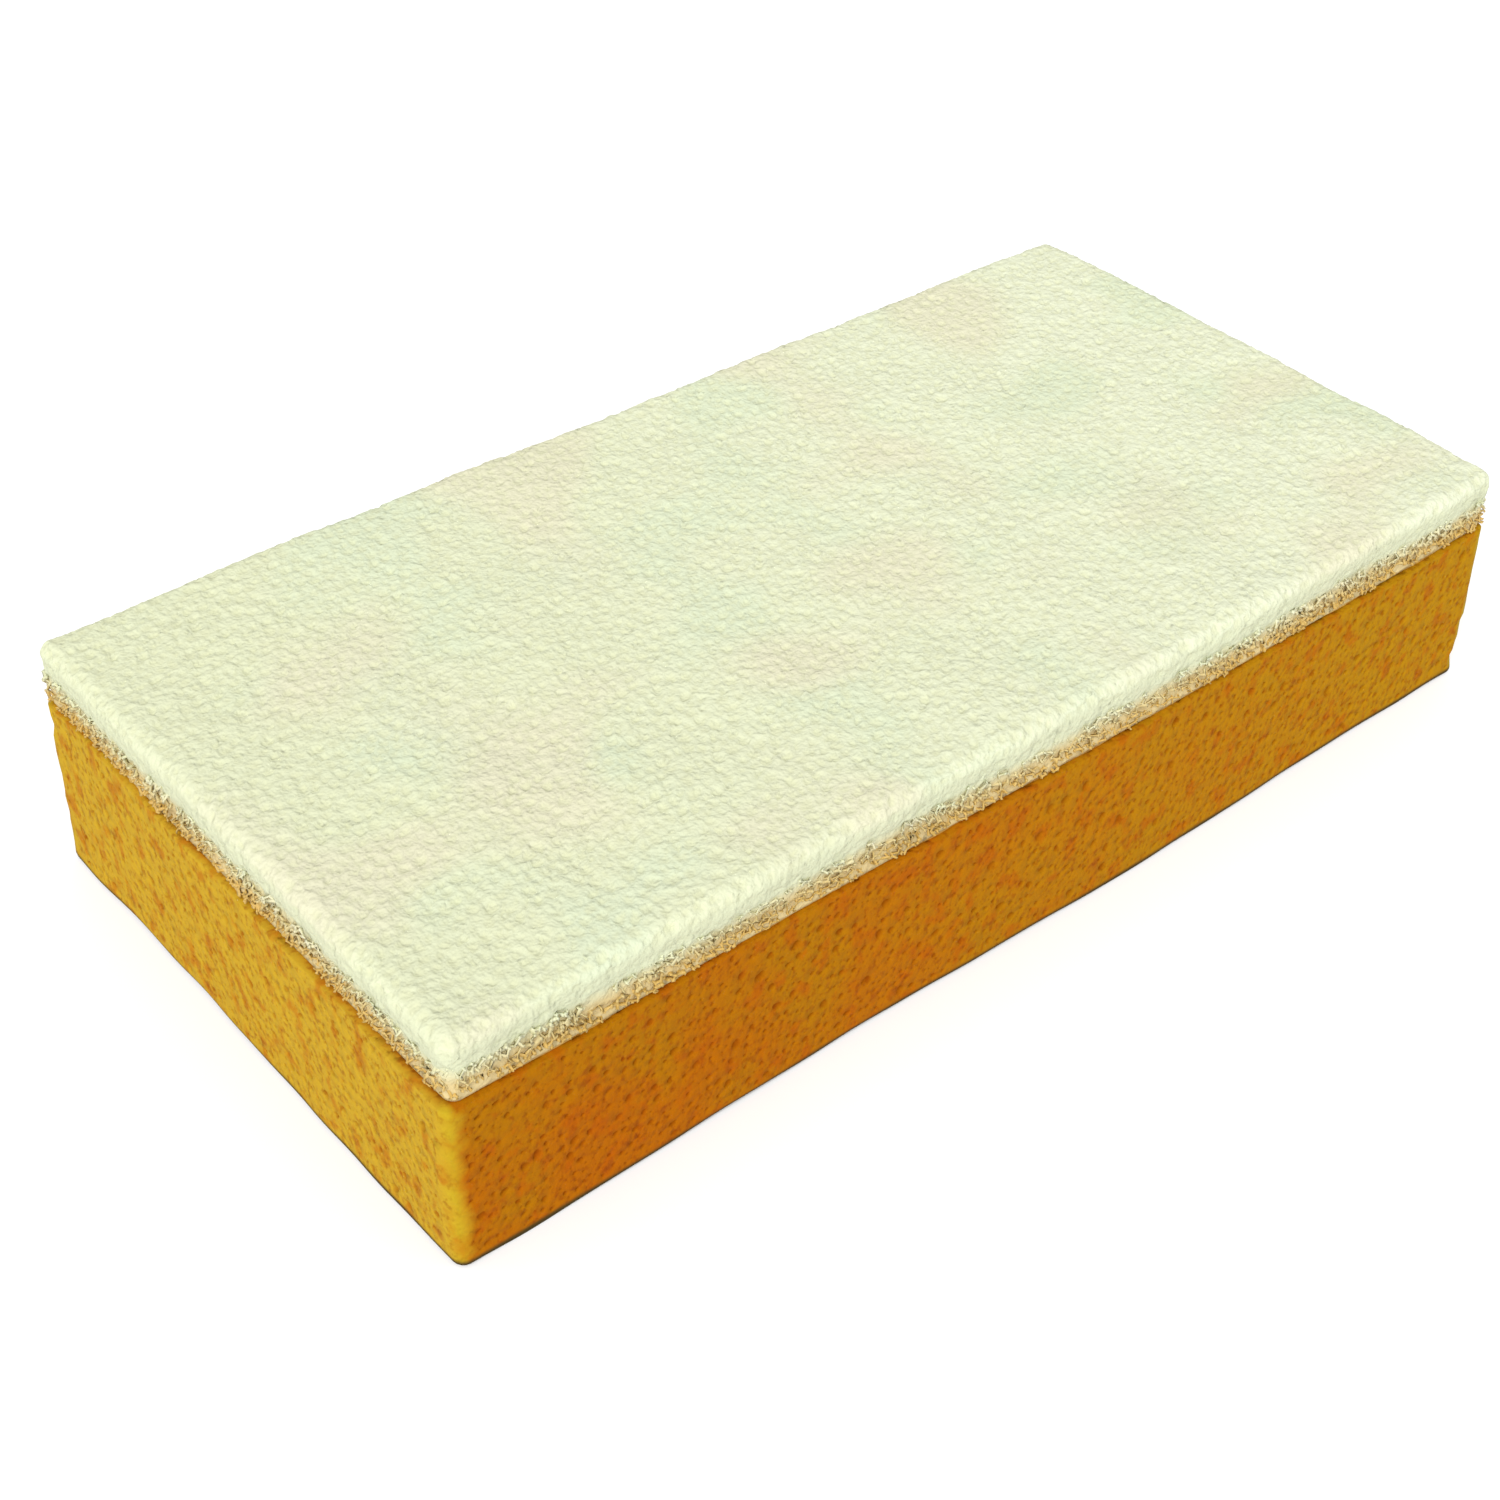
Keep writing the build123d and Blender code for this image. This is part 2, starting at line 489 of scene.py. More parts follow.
class Outline:
    """A rounded rectangle walked anticlockwise from the middle of its back, by length along it."""

    STRAIGHT_STEP = 2.6
    ARC_STEP = 1.0

    def __init__(self, half_x, half_y, radius):
        self.half_x, self.half_y, self.radius = half_x, half_y, radius
        arc = radius * math.pi / 2
        runs = [half_x - radius, 2 * (half_y - radius), 2 * (half_x - radius),
                2 * (half_y - radius), half_x - radius]
        headings = [180, 270, 0, 90, 180]
        self.stretches, marks, u = [], [], 0.0
        at = np.array([0.0, half_y])
        for n, (run, heading) in enumerate(zip(runs, headings)):
            along = np.array([math.cos(math.radians(heading)), math.sin(math.radians(heading))])
            self.stretches.append((u, run, "run", at.copy(), heading))
            marks.append(u + np.linspace(0, run, max(2, round(run / self.STRAIGHT_STEP)) + 1)[:-1])
            at, u = at + along * run, u + run
            if n < 4:
                left = np.array([-along[1], along[0]])
                self.stretches.append((u, arc, "arc", at + left * radius, heading))
                marks.append(u + np.linspace(0, arc, max(3, round(arc / self.ARC_STEP)) + 1)[:-1])
                at, u = at + (left + along) * radius, u + arc
        self.length = u
        self.marks = np.concatenate(marks)

    def place(self, u):
        """Points on the outline and their outward normals."""
        u = np.asarray(u, float) % self.length
        at, out = np.zeros((len(u), 2)), np.zeros((len(u), 2))
        for start, run, kind, origin, heading in self.stretches:
            mine = (u >= start - 1e-9) & (u < start + run + 1e-9)
            if kind == "run":
                turn = np.full(mine.sum(), math.radians(heading))
                along = np.stack([np.cos(turn), np.sin(turn)], 1)
                at[mine] = origin + (u[mine] - start)[:, None] * along
            else:
                turn = math.radians(heading) + (u[mine] - start) / self.radius
                at[mine] = origin + self.radius * np.stack([np.sin(turn), -np.cos(turn)], 1)
            out[mine] = np.stack([np.sin(turn), -np.cos(turn)], 1)
        return at, out


class PittedSlab:
    """Builds one closed slab face by face, keeping each corner's place on the baked map."""

    WALL_SHARE = 0.6   # part of the baked map for the wall, in four rows
    SPILL = 4.0        # overlap of the rows, so that every triangle lies in one row
    EDGE_ROOM = 9.0    # length of the eased edges that the rows take in, above and below
    WALL_STEP = 2.5    # spacing of the points up the seam

    def __init__(self, outline, bottom, top, rng):
        self.outline, self.bottom, self.top, self.rng = outline, bottom, top, rng
        self.points, self.pit, self.count = [], [], 0
        self.faces, self.uv = [], []

    def add_points(self, points, pit=None):
        numbers = self.count + np.arange(len(points))
        self.points.append(points)
        self.pit.append(np.zeros(len(points)) if pit is None else pit)
        self.count += len(points)
        return numbers

    def add_faces(self, faces, uv):
        self.faces.append(faces)
        self.uv.append(uv.reshape(-1, 2))

    def wall_uv(self, corners):
        """Places of wall corners, given as length along the outline and height above the bottom."""
        quarter = self.outline.length / 4
        row = (corners[:, :, 0].mean(1) // quarter).astype(int).clip(0, 3)
        x = corners[:, :, 0] - (row * quarter)[:, None] + self.SPILL
        y = corners[:, :, 1] + self.EDGE_ROOM
        tall = self.top - self.bottom + 2 * self.EDGE_ROOM
        u = 0.005 + 0.99 * x / (quarter + 2 * self.SPILL)
        v = (0.01 + 0.98 * y / tall + row[:, None]) * self.WALL_SHARE / 4
        return np.stack([u, v], -1)

    def cap_uv(self, corners, share):
        """Places of a flat face's corners, given as x and y from the slab's middle."""
        x = 0.5 + 0.495 * corners[:, :, 0] / self.outline.half_x
        y = 0.5 + 0.495 * corners[:, :, 1] / self.outline.half_y
        return np.stack([x, 1 - share + share * y], -1)

    def ring_place(self, inset, z):
        at, out = self.outline.place(self.outline.marks)
        return np.column_stack([at - out * inset, np.full(len(at), z)])

    def wall(self, low, high, pits=None):
        """The upright wall between two heights. Returns its lower and upper rings of vertices."""
        marks, length, height = self.outline.marks, self.outline.length, high - low
        uprights = np.linspace(0, height, max(1, round(height / self.WALL_STEP)) + 1)[1:-1]
        border = [(u, 0.0) for u in marks] + [(length, 0.0)]
        border += [(length, v) for v in uprights]
        border += [(length, height)] + [(u, height) for u in marks[::-1]]
        border += [(0.0, v) for v in uprights[::-1]]

        def allowed(xy, clearance):
            inside = (xy[:, 0] > clearance) & (xy[:, 0] < length - clearance)
            return inside & (xy[:, 1] > clearance) & (xy[:, 1] < height - clearance)

        def allowed_pit(xy, clearance):
            clear = allowed(xy, clearance)
            for start, run, kind, _, _ in self.outline.stretches:
                if kind == "arc":
                    clear &= (xy[:, 0] < start - clearance) | (xy[:, 0] > start + run + clearance)
            return clear

        flat, faces, pit = pitted_face(
            pits, length, height, border, allowed, FINE_GRID, self.rng, allowed_pit)
        at, out = self.outline.place(flat[:, 0])
        numbers = self.add_points(np.column_stack([at - out * flat[:, 2:], low + flat[:, 1]]), pit)
        count, ups = len(marks), len(uprights)
        lower, seam_low = numbers[:count], count
        right = slice(count + 1, count + 1 + ups)
        seam_high = count + 1 + ups
        upper = numbers[seam_high + 1:seam_high + 1 + count][::-1]
        left = numbers[seam_high + 1 + count:seam_high + 1 + count + ups][::-1]
        numbers[seam_low], numbers[seam_high], numbers[right] = lower[0], upper[0], left
        corners = flat[faces][:, :, :2] + (0, low - self.bottom)
        self.add_faces(numbers[faces], self.wall_uv(corners))
        return lower.copy(), upper.copy()

    def band(self, lower, upper, low_v, high_v):
        """Quads between two rings, with their heights on the baked map."""
        n = len(lower)
        i, j = np.arange(n), (np.arange(n) + 1) % n
        u = np.append(self.outline.marks, self.outline.length)
        quads = np.stack([lower[i], lower[j], upper[j], upper[i]], 1)
        along = np.stack([u[:-1], u[1:], u[1:], u[:-1]], 1)
        height = np.tile([low_v, low_v, high_v, high_v], (n, 1))
        self.add_faces(quads, self.wall_uv(np.stack([along, height], -1)))

    def ease_down(self, ring, z, radius, steps):
        """Rounds the edge from the wall's ring at z down to a flat face. Returns the last ring."""
        run = radius * math.pi / 2 / steps
        v = z - self.bottom
        for n in range(1, steps + 1):
            turn = math.pi / 2 * n / steps
            inset, drop = radius * (1 - math.cos(turn)), radius * math.sin(turn)
            new_ring = self.add_points(self.ring_place(inset, z - drop))
            self.band(new_ring, ring, v - run, v)
            ring, v = new_ring, v - run
        return ring

    def cap(self, ring, inset, z, facing, pits=None, band=None, share=0.4, step=FINE_GRID):
        """A flat face at z inside a ring of vertices, facing up (1) or down (-1).

        With a band, its pits stay that close to the ring. It fills that share of the baked map.
        """
        half = np.array([self.outline.half_x, self.outline.half_y]) - inset
        radius = self.outline.radius - inset
        border = self.ring_place(inset, z)[:, :2] + half

        def allowed(xy, clearance):
            return outline_distance(xy - half, *half, radius) < -clearance

        def allowed_pit(xy, clearance):
            gap = outline_distance(xy - half, *half, radius)
            return (gap < -clearance) & (True if band is None else gap > -band)

        flat, faces, pit = pitted_face(pits, *(2 * half), border, allowed, step, self.rng, allowed_pit)
        place = np.column_stack([flat[:, :2] - half, z - facing * flat[:, 2]])
        count = len(border)
        numbers = np.concatenate([ring, self.add_points(place[count:], pit[count:])])
        uv = self.cap_uv(flat[faces][:, :, :2] - half, share)
        turned = slice(None, None, facing)
        self.add_faces(numbers[faces][:, turned], uv[:, turned])

    def build(self, name, wave, fields):
        points = np.concatenate(self.points)
        shift = np.zeros(points.shape)
        for length, strength in wave:
            for axis in range(3):
                shift[:, axis] += strength * wave_noise(points, length, 70 + axis + round(length))
        pit = np.concatenate(self.pit)
        uv = np.concatenate(self.uv)
        return make_object(name, points + shift, self.faces, uv, fields(points, pit))


# ------------ the sponge's pieces
SIDE_PITS = Pits(per_cm2=21, radius=0.42, spread=0.45, largest=1.2, depth=0.8, stretch=1.2, lean=-0.1)
FACE_PITS = Pits(per_cm2=12, radius=0.46, spread=0.5, largest=1.3, depth=1.2)
FOAM_WAVES = ((90.0, 0.2), (20.0, 0.1))  # wavelengths and strengths
FILM_WAVES = ((9.0, 0.08),)
FELT_WAVES = ((7, 0.05, 12), (30, 0.2, 12), (1.9, 0.05, 30))  # with the number of waves


def corner_closeness(points, low, high, reach):
    """1 on the upright corners of the block, falling to 0 a reach away along its walls."""
    middle, half = (low + high) / 2, (high - low) / 2
    gap = half[:2] - np.abs(points[:, :2] - middle[:2])
    return smoothstep(reach, 0.25 * reach, np.hypot(*np.maximum(gap, 0).T))


def block_body(outline, bottom, top):
    """The block's top, sides and foot, with a recess below for the wiping face."""
    body = PittedSlab(outline, bottom, top, np.random.default_rng(3))
    foot_top, recess_top = bottom + FOOT_RADIUS, bottom + SOLE_DEPTH
    lower, upper = body.wall(foot_top, top, SIDE_PITS)
    body.cap(upper, 0.0, top, 1, FACE_PITS, band=RIM_PITS, step=2 * FINE_GRID)
    foot = body.ease_down(lower, foot_top, FOOT_RADIUS, 3)
    recess = body.add_points(body.ring_place(FOOT_RADIUS, recess_top))
    body.band(recess, foot, -3.0, -2.4)
    body.cap(recess, FOOT_RADIUS, recess_top, -1, step=COARSE_GRID)
    return body


def block_sole(outline, bottom):
    """The pitted wiping face, as a thin slab that fills the body's recess."""
    top = bottom + SOLE_DEPTH
    sole = PittedSlab(outline, bottom, top, np.random.default_rng(4))
    rim = sole.add_points(sole.ring_place(FOOT_RADIUS, bottom))
    sole.cap(rim, FOOT_RADIUS, bottom, -1, FACE_PITS, share=0.97)
    top_rim = sole.add_points(sole.ring_place(FOOT_RADIUS, top))
    sole.band(rim, top_rim, 0.0, 0.5)
    sole.cap(top_rim, FOOT_RADIUS, top, 1, share=0.97, step=COARSE_GRID)
    return sole


def make_sponge(material):
    """The wash block: a pitted body, and a pitted wiping face let into it."""
    low, high = box_mm("sponge_block")
    half = (high - low)[:2] / 2
    outline = Outline(*half, UPRIGHT_RADIUS)

    def fields(points, pit):
        # the second and third fields place painted light: a highlight on the upright corners, and
        # lighter short ends
        ends = half[0] - np.abs(points[:, 0])
        return {"pit": pit, "corner_highlight": corner_closeness(points, low, high, CORNER_HIGHLIGHT_REACH),
                "painted_light_end": smoothstep(UPRIGHT_RADIUS, 0.6, ends)}

    body = block_body(outline, low[2], high[2]).build("sponge_block_body", FOAM_WAVES, fields)
    sole = block_sole(outline, low[2]).build("sponge_wiping_face", FOAM_WAVES, fields)
    for piece in (body, sole):
        finish_piece(piece, material)
        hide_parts("sponge_block")


def finish_piece(piece, material, sharp=None):
    piece.data.materials.append(material)
    smooth = np.ones(len(piece.data.polygons), bool)
    piece.data.polygons.foreach_set("use_smooth", smooth)
    if sharp is not None:
        piece.data.set_sharp_from_angle(angle=math.radians(sharp))
    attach(piece, "root")


def felt_grid(half, bottom, top):
    """A slab's top and walls as welded squares, with every edge rounded but the lower one.

    Returns the points, their outward normals, the squares and the squares' corners on the map.
    """
    wide, deep, tall = 2 * half[0], 2 * half[1], top - bottom
    sides = [  # each side's first corner, its two edges, and its tile of the map
        ((-half[0], -half[1], top), (wide, 0, 0), (0, deep, 0), (0.0, 0.28, 1.0, 0.72)),
        ((-half[0], -half[1], bottom), (wide, 0, 0), (0, 0, tall), (0.0, 0.0, 1.0, 0.07)),
        ((half[0], half[1], bottom), (-wide, 0, 0), (0, 0, tall), (0.0, 0.07, 1.0, 0.07)),
        ((half[0], -half[1], bottom), (0, deep, 0), (0, 0, tall), (0.0, 0.14, 0.5, 0.07)),
        ((-half[0], half[1], bottom), (0, -deep, 0), (0, 0, tall), (0.5, 0.14, 0.5, 0.07)),
    ]
    points, squares, uv, count = [], [], [], 0
    for origin, along, up, tile in sides:
        along, up = np.array(along), np.array(up)
        columns, rows = (round(np.linalg.norm(v) / FELT_STEP) for v in (along, up))
        steps = np.meshgrid(np.arange(columns + 1), np.arange(rows + 1), indexing="ij")
        i, j = (v.ravel() for v in steps)
        points.append(np.array(origin) + along * (i / columns)[:, None] + up * (j / rows)[:, None])
        number = count + np.arange((columns + 1) * (rows + 1)).reshape(columns + 1, rows + 1)
        square = np.stack([number[:-1, :-1], number[1:, :-1], number[1:, 1:], number[:-1, 1:]], -1)
        squares.append(square.reshape(-1, 4))
        at = squares[-1] - count
        place = np.stack([at // (rows + 1) / columns, at % (rows + 1) / rows], -1)
        uv.append(np.array(tile[:2]) + np.array(tile[2:]) * (0.005 + 0.99 * place))
        count += len(points[-1])
    flat = np.concatenate(points)
    _, first, welded = np.unique(np.round(flat / 0.01).astype(int), axis=0,
                                 return_index=True, return_inverse=True)
    squares = welded.ravel()[np.concatenate(squares)]
    box, radius = flat[first], PAD_SHOULDER_RADIUS
    inner = np.clip(box, (radius - half[0], radius - half[1], bottom),
                    (half[0] - radius, half[1] - radius, top - radius))
    normal = unit(box - inner)
    return inner + radius * normal, normal, squares, np.concatenate(uv).reshape(-1, 2)


def cell_share(points, pitch, seed):
    """0 on the walls between a random foam's cells and 1 well inside each, and a number per cell."""
    rng = np.random.default_rng(seed)
    low, high = points.min(0) - pitch, points.max(0) + pitch
    counts = np.ceil((high - low) / pitch).astype(int)
    grid = np.stack(np.meshgrid(*[np.arange(c) for c in counts], indexing="ij"), -1).reshape(-1, 3)
    middles = low + (grid + 0.5 + rng.uniform(-0.45, 0.45, grid.shape)) * pitch
    tree = KDTree(len(middles))
    for n, middle in enumerate(middles):
        tree.insert(middle, n)
    tree.balance()
    near = np.array([[(n, d) for _, n, d in tree.find_n(p, 2)] for p in points])
    own = rng.uniform(0, 1, len(middles))[near[:, 0, 0].astype(int)]
    return smoothstep(*CELL_WALL, near[:, 1, 1] - near[:, 0, 1]), own


def undercut(z, bottom, top):
    """How far the felt's sides draw in at a height, to make room for the struts before them."""
    return FELT_UNDERCUT * smoothstep(top - 2.5, bottom + 2.5, z)


def felt_dent(points, bottom, top):
    """How far the felt is pressed in at each point, and how far inside its dimple the point lies."""
    share, own = cell_share(points, FELT_PITCH, 21)
    deeper = 1 + SIDE_DENT * smoothstep(top - 4.0, bottom, points[:, 2])
    dent = FELT_DENT * deeper * share * (SHALLOWEST_DENT + (1 - SHALLOWEST_DENT) * own)
    for n, (length, strength, waves) in enumerate(FELT_WAVES):
        dent += strength * wave_noise(points, length, 22 + n, waves)
    return dent, share


def felt_underside(rim, half, bottom):
    """Closes the felt inside its rim. Returns the added points, the faces and their map places."""
    border = rim[:, :2] + half

    def allowed(xy, clearance):
        return outline_distance(xy - half, *(half - FELT_UNDERCUT), 1.0) < -clearance

    rng = np.random.default_rng(25)
    flat, faces, _ = pitted_face(None, *(2 * half), border, allowed, COARSE_GRID, rng)
    inside = flat[len(border):]
    added = np.column_stack([inside[:, :2] - half, np.full(len(inside), bottom)])
    uv = flat[faces][:, ::-1, :2] / (2 * half) * (0.1, 0.04) + (0.0, 0.22)
    return added, faces[:, ::-1], uv.reshape(-1, 2)


def make_felt(material, half, bottom, top):
    """The closed inner part of the pad: dimpled all over, and drawn in under its shoulder."""
    points, normal, squares, uv = felt_grid(half, bottom, top)
    dent, share = felt_dent(points, bottom, top)
    on_rim = points[:, 2] < bottom + 1e-6
    dent[on_rim] = 0
    inward = normal * (1, 1, 0)
    place = points - normal * dent[:, None] - inward * undercut(points[:, 2], bottom, top)[:, None]
    ring = np.nonzero(on_rim)[0]
    turn = np.arctan2(place[ring, 1] / half[1], place[ring, 0] / half[0])
    ring = ring[np.argsort(turn)]
    added, faces, under_uv = felt_underside(place[ring], half, bottom)
    numbers = np.concatenate([ring, len(place) + np.arange(len(added))])
    fields = {"pit": np.concatenate([share, np.zeros(len(added))])}
    piece = make_object("scrub_pad_felt", np.concatenate([place, added]), [squares, numbers[faces]],
                        np.concatenate([uv, under_uv]), fields)
    finish_piece(piece, material)
    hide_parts("scrub_pad")


def strut_room(points, half, bottom, top):
    """Signed distance to the band that the struts fill, round the felt's sides."""
    band = slab_distance(points, *(half + MESH_FRINGE), bottom, top - MESH_DROP,
                         PAD_CORNER_RADIUS, MESH_SHOULDER)
    band += PAD_TUCK * smoothstep(top - 5.0, bottom, points[:, 2])
    band += 0.1 * wave_noise(points, 5, 31)
    felt_top = top - FELT_DROP
    felt = slab_distance(points, *(half - FELT_INSET), bottom - HIDDEN_DEPTH, felt_top,
                         PAD_CORNER_RADIUS, PAD_SHOULDER_RADIUS)
    felt += undercut(points[:, 2], bottom, felt_top)
    return np.maximum(band, -(felt + FELT_LAP))


def make_pad(strut_material, felt_material):
    """The scrub pad: a dimpled felt with a network of struts before its sides."""
    low, high = box_mm("scrub_pad")
    film_low, _ = box_mm("adhesive_film")
    half = (high - low)[:2] / 2
    bottom = film_low[2] + PAD_LIFT
    make_felt(felt_material, half - FELT_INSET, bottom, high[2] - FELT_DROP)
    points, neighbours = foam_network(
        low - 1, high + 1, CELL_PITCH, CELL_TILT, CELL_JITTER, CELL_WARP, seed=11)
    distance = strut_room(points, half, bottom, high[2])
    share = (points[:, 0] - low[0]) / (high[0] - low[0])
    piece_of = (share * PIECES_ALONG).astype(int).clip(0, PIECES_ALONG - 1)
    span = (high - low)[0] / PIECES_ALONG
    for n, (verts, faces) in enumerate(strut_pieces(points, neighbours, distance, piece_of, seed=12)):
        part_low = np.array([low[0] + n * span - 2, low[1] - 1.5, bottom - 0.5])
        part_high = np.array([low[0] + (n + 1) * span + 2, high[1] + 1.5, high[2] + 0.8])
        uv = slice_uv(verts, faces, part_low, part_high)
        piece = make_object(f"scrub_pad_mesh_{n + 1}", verts, faces, uv)
        finish_piece(piece, strut_material)
        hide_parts("scrub_pad")


def make_film(material):
    """The glue film, as a thin uneven web."""
    low, high = box_mm("adhesive_film")
    half = (high - low)[:2] / 2
    outline = Outline(*half, FILM_CORNER_RADIUS)
    film = PittedSlab(outline, low[2], high[2], np.random.default_rng(6))
    lower, upper = film.wall(low[2], high[2])
    film.cap(upper, 0.0, high[2], 1, step=FILM_GRID)
    film.cap(lower, 0.0, low[2], -1, step=FILM_GRID)
    piece = film.build("adhesive_film_web", FILM_WAVES, lambda points, pit: {"pit": pit})
    finish_piece(piece, material, sharp=40)
    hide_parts("adhesive_film")


# ------------ materials
class Nodes:
    """A small helper that builds one procedural material."""

    def __init__(self, name, roughness, specular):
        self.material = bpy.data.materials.new(name)
        self.material.use_nodes = True
        self.tree = self.material.node_tree
        self.shader = self.tree.nodes["Principled BSDF"]
        self.shader.inputs["Roughness"].default_value = roughness
        self.shader.inputs["Specular IOR Level"].default_value = specular
        self.place = self.tree.nodes.new("ShaderNodeTexCoord").outputs["Object"]

    def link(self, value, socket):
        """Feeds a socket from another node's output, a colour or a number."""
        if hasattr(value, "links"):
            self.tree.links.new(value, socket)
        elif isinstance(value, tuple):
            socket.default_value = (*value, 1.0)
        else:
            socket.default_value = value

    def noise(self, wavelength, detail, seed, squash=(1, 1, 1)):
        """Noise of about the given wavelength in millimetres, centred on 0.5."""
        mapping = self.tree.nodes.new("ShaderNodeMapping")
        mapping.inputs["Location"].default_value = (seed, 2 * seed, 3 * seed)
        mapping.inputs["Scale"].default_value = squash
        self.link(self.place, mapping.inputs["Vector"])
        node = self.tree.nodes.new("ShaderNodeTexNoise")
        node.inputs["Scale"].default_value = 1 / (wavelength * MM)
        node.inputs["Detail"].default_value = detail
        self.link(mapping.outputs["Vector"], node.inputs["Vector"])
        return node.outputs["Fac"]

    def cells(self, size):
        """Distance to the nearest cell middle, for small rounded pores."""
        node = self.tree.nodes.new("ShaderNodeTexVoronoi")
        node.inputs["Scale"].default_value = 1 / (size * MM)
        self.link(self.place, node.inputs["Vector"])
        return node.outputs["Distance"]

    def field(self, name):
        node = self.tree.nodes.new("ShaderNodeAttribute")
        node.attribute_name = name
        return node.outputs["Fac"]

    def coordinate(self, axis, low, high):
        """0 at one place in millimetres along an axis and 1 at another."""
        split = self.tree.nodes.new("ShaderNodeSeparateXYZ")
        self.link(self.place, split.inputs[0])
        return self.ramp(split.outputs[axis], low * MM, high * MM)

    def height(self, low, high):
        return self.coordinate("Z", low, high)

    def ramp(self, value, low, high):
        node = self.tree.nodes.new("ShaderNodeMapRange")
        node.interpolation_type = "SMOOTHSTEP"
        self.link(value, node.inputs["Value"])
        node.inputs["From Min"].default_value = low
        node.inputs["From Max"].default_value = high
        return node.outputs["Result"]

    def math(self, operation, a, b):
        node = self.tree.nodes.new("ShaderNodeMath")
        node.operation = operation
        self.link(a, node.inputs[0])
        self.link(b, node.inputs[1])
        return node.outputs[0]

    def mix(self, factor, a, b, share=1.0):
        """Colour a where the factor is 0, with this share of colour b where it is 1."""
        node = self.tree.nodes.new("ShaderNodeMix")
        node.data_type = "RGBA"
        self.link(self.math("MULTIPLY", factor, share), node.inputs[0])
        self.link(a, node.inputs[6])
        self.link(b, node.inputs[7])
        return node.outputs[2]

    def colour(self, value):
        self.link(value, self.shader.inputs["Base Color"])

    def bump(self, height, strength, distance):
        node = self.tree.nodes.new("ShaderNodeBump")
        node.inputs["Strength"].default_value = strength
        node.inputs["Distance"].default_value = distance * MM
        self.link(height, node.inputs["Height"])
        self.link(node.outputs["Normal"], self.shader.inputs["Normal"])


FOAM_ORANGE = (0.391, 0.112, 0.0005)
FOAM_OLIVE = (0.368, 0.140, 0.0009)
FOAM_LIT_END = (0.501, 0.308, 0.020)
FOAM_CORNER_HIGHLIGHT = (0.460, 0.354, 0.011)
FOAM_AMBER = (0.405, 0.207, 0.0037)
FOAM_RED = (0.396, 0.078, 0.0009)
FOAM_PORE_AND_PIT_SHADE = (0.230, 0.041, 0.0009)
FOAM_CONTACT_SHADOW = (0.064, 0.041, 0.0092)


def foam_material():
    """Amber foam: orange to olive patches, fine pores, painted reddish shade in the pits, painted
    light on the short ends and upright corners, and a painted contact shadow at the foot.
    """
    foam = Nodes("amber_foam", 0.9, 0.06)
    colour = foam.mix(foam.ramp(foam.noise(28, 3, 1.0), 0.38, 0.64), FOAM_ORANGE, FOAM_OLIVE)
    colour = foam.mix(foam.coordinate("X", -120.0, 160.0), colour, FOAM_AMBER, 0.9)
    # painted light: the short ends lighter and yellower, as where the key light falls
    colour = foam.mix(foam.field("painted_light_end"), colour, FOAM_LIT_END)
    blush = foam.ramp(foam.noise(4.5, 3, 2.0, (1.1, 1.1, 0.9)), 0.48, 0.70)
    colour = foam.mix(blush, colour, FOAM_RED, 0.55)
    grain = foam.noise(1.5, 2, 3.0, (1.1, 1.1, 0.9))
    colour = foam.mix(foam.ramp(grain, 0.50, 0.74), colour, FOAM_PORE_AND_PIT_SHADE, 0.5)
    # painted shade: the pits darkened to a reddish brown
    colour = foam.mix(foam.field("pit"), colour, FOAM_PORE_AND_PIT_SHADE, 0.55)
    # painted highlight: the upright corners lighter and yellower
    colour = foam.mix(foam.field("corner_highlight"), colour, FOAM_CORNER_HIGHLIGHT, 0.55)
    # painted contact shadow: a dark olive line along the foot, next to the floor
    colour = foam.mix(foam.height(2.3, 1.0), colour, FOAM_CONTACT_SHADOW)
    foam.colour(colour)
    foam.bump(foam.math("ADD", foam.cells(1.2), grain), 0.5, 0.3)
    return foam.material


MESH_CREAM = (0.662, 0.690, 0.474)
MESH_PALE = (0.705, 0.735, 0.545)
MESH_PINK = (0.690, 0.662, 0.478)
MESH_GREEN = (0.635, 0.699, 0.501)
MESH_HOLLOW_SHADE = (0.616, 0.626, 0.396)
MESH_RIM_SHADE = (0.589, 0.616, 0.423)
MESH_SHADE = (0.640, 0.510, 0.250)
MESH_BOUNCE_AND_SHADE = (0.600, 0.490, 0.230)
MESH_GLUE_AND_BOUNCE = (0.589, 0.386, 0.101)
GLUE_AMBER = (0.45, 0.22, 0.03)
GLUE_PALE = (0.60, 0.38, 0.10)


def mesh_patches(nodes):
    """Very soft pinkish and greenish patches on cream."""
    pink = nodes.ramp(nodes.noise(38, 1, 5.0), 0.48, 0.68)
    green = nodes.ramp(nodes.noise(34, 1, 6.0), 0.48, 0.66)
    colour = nodes.mix(nodes.coordinate("X", -150.0, 140.0), MESH_CREAM, MESH_PALE)
    colour = nodes.mix(green, colour, MESH_GREEN, 0.8)
    return nodes.mix(pink, colour, MESH_PINK, 0.8)


def strut_material():
    """White plastic mesh, with painted amber bounce light and shade close to the foam, and glue with
    painted amber light at the glue line.
    """
    mesh = Nodes("white_mesh", 0.5, 0.4)
    # painted amber bounce light and shade on the struts' lower part, near the foam
    colour = mesh.mix(mesh.height(49.5, 44.5), mesh_patches(mesh), MESH_BOUNCE_AND_SHADE)
    # glue colour together with painted amber light from the foam, at the glue line
    colour = mesh.mix(mesh.height(45.5, 42.8), colour, MESH_GLUE_AND_BOUNCE)
    mesh.colour(colour)
    return mesh.material


